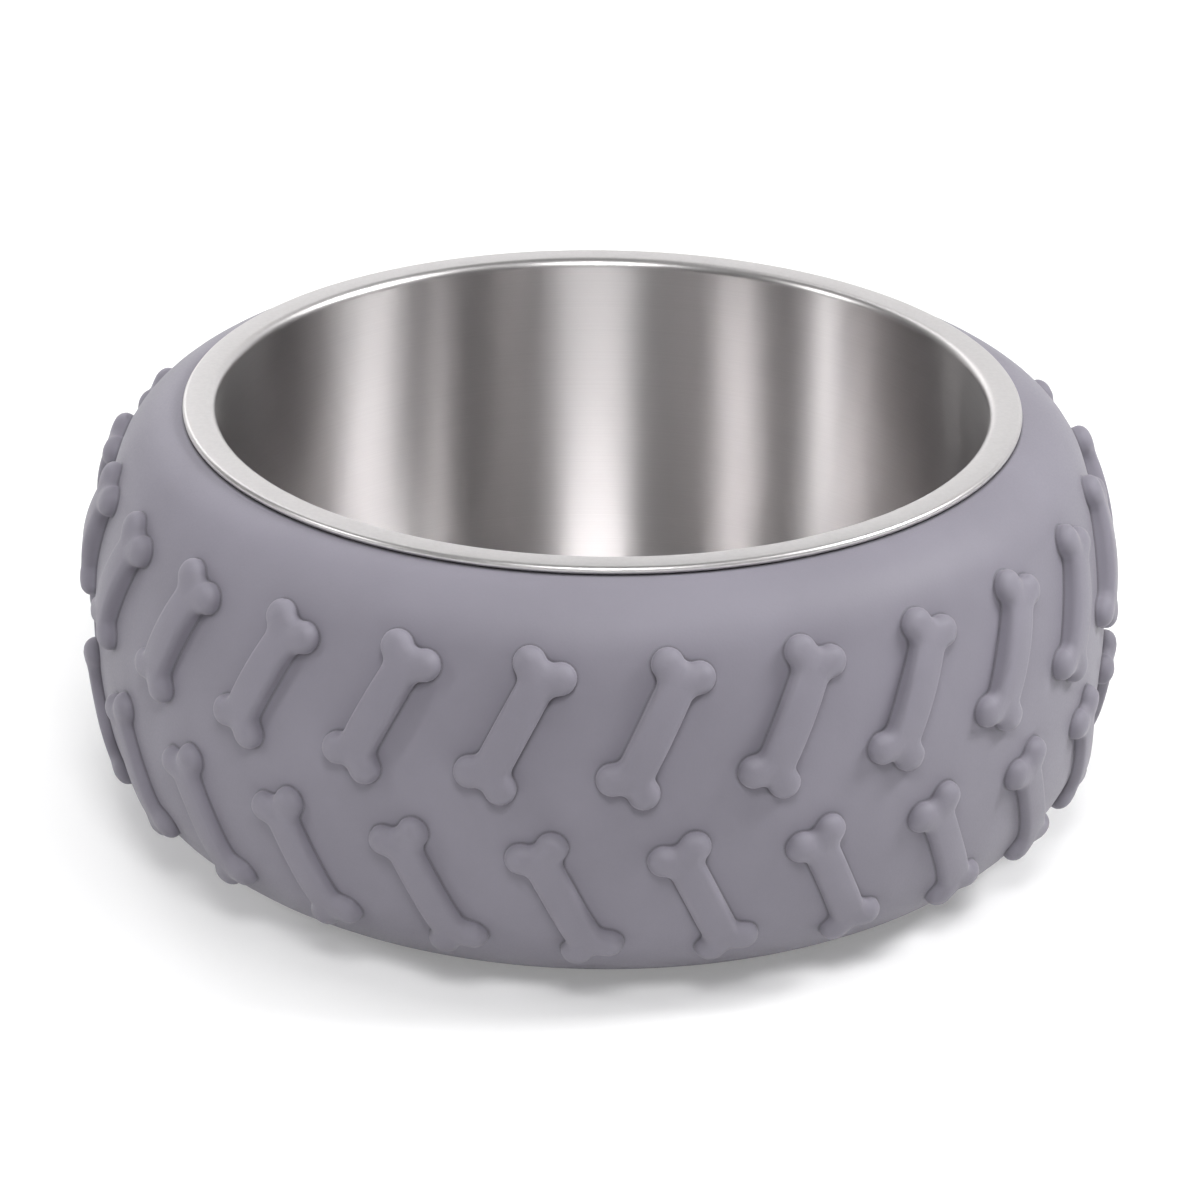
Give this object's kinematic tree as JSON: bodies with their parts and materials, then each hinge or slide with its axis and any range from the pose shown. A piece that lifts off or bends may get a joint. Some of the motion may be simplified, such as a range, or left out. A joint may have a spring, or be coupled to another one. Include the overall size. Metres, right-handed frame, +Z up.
{
  "type": "pet bowl",
  "caption": "Round pet bowl: a deep polished steel bowl with a flat hemmed rim, which lifts out of a tyre-shaped silicone sleeve with raised bones as its tread.",
  "frame": {"origin": "centre of the sleeve's foot ring, on the surface that the bowl stands on", "axes": "+Z up along the bowl's axis, -Y the front of the picture, +X to its right"},
  "size_m": [0.1822, 0.1822, 0.0756],
  "materials": {
    "silicone": "matte moulded silicone, grey with a violet cast",
    "steel": "polished wall, satin flange, bright hemmed edge"
  },
  "bodies": {
    "sleeve": {"tyre_sleeve": "silicone"},
    "bowl": {"steel_bowl": "steel"}
  },
  "joints": [
    {"name": "bowl_lift", "type": "slide", "parent": "sleeve", "child": "bowl", "axis": [0, 0, 1], "range_m": [0, 0.08]}
  ]
}
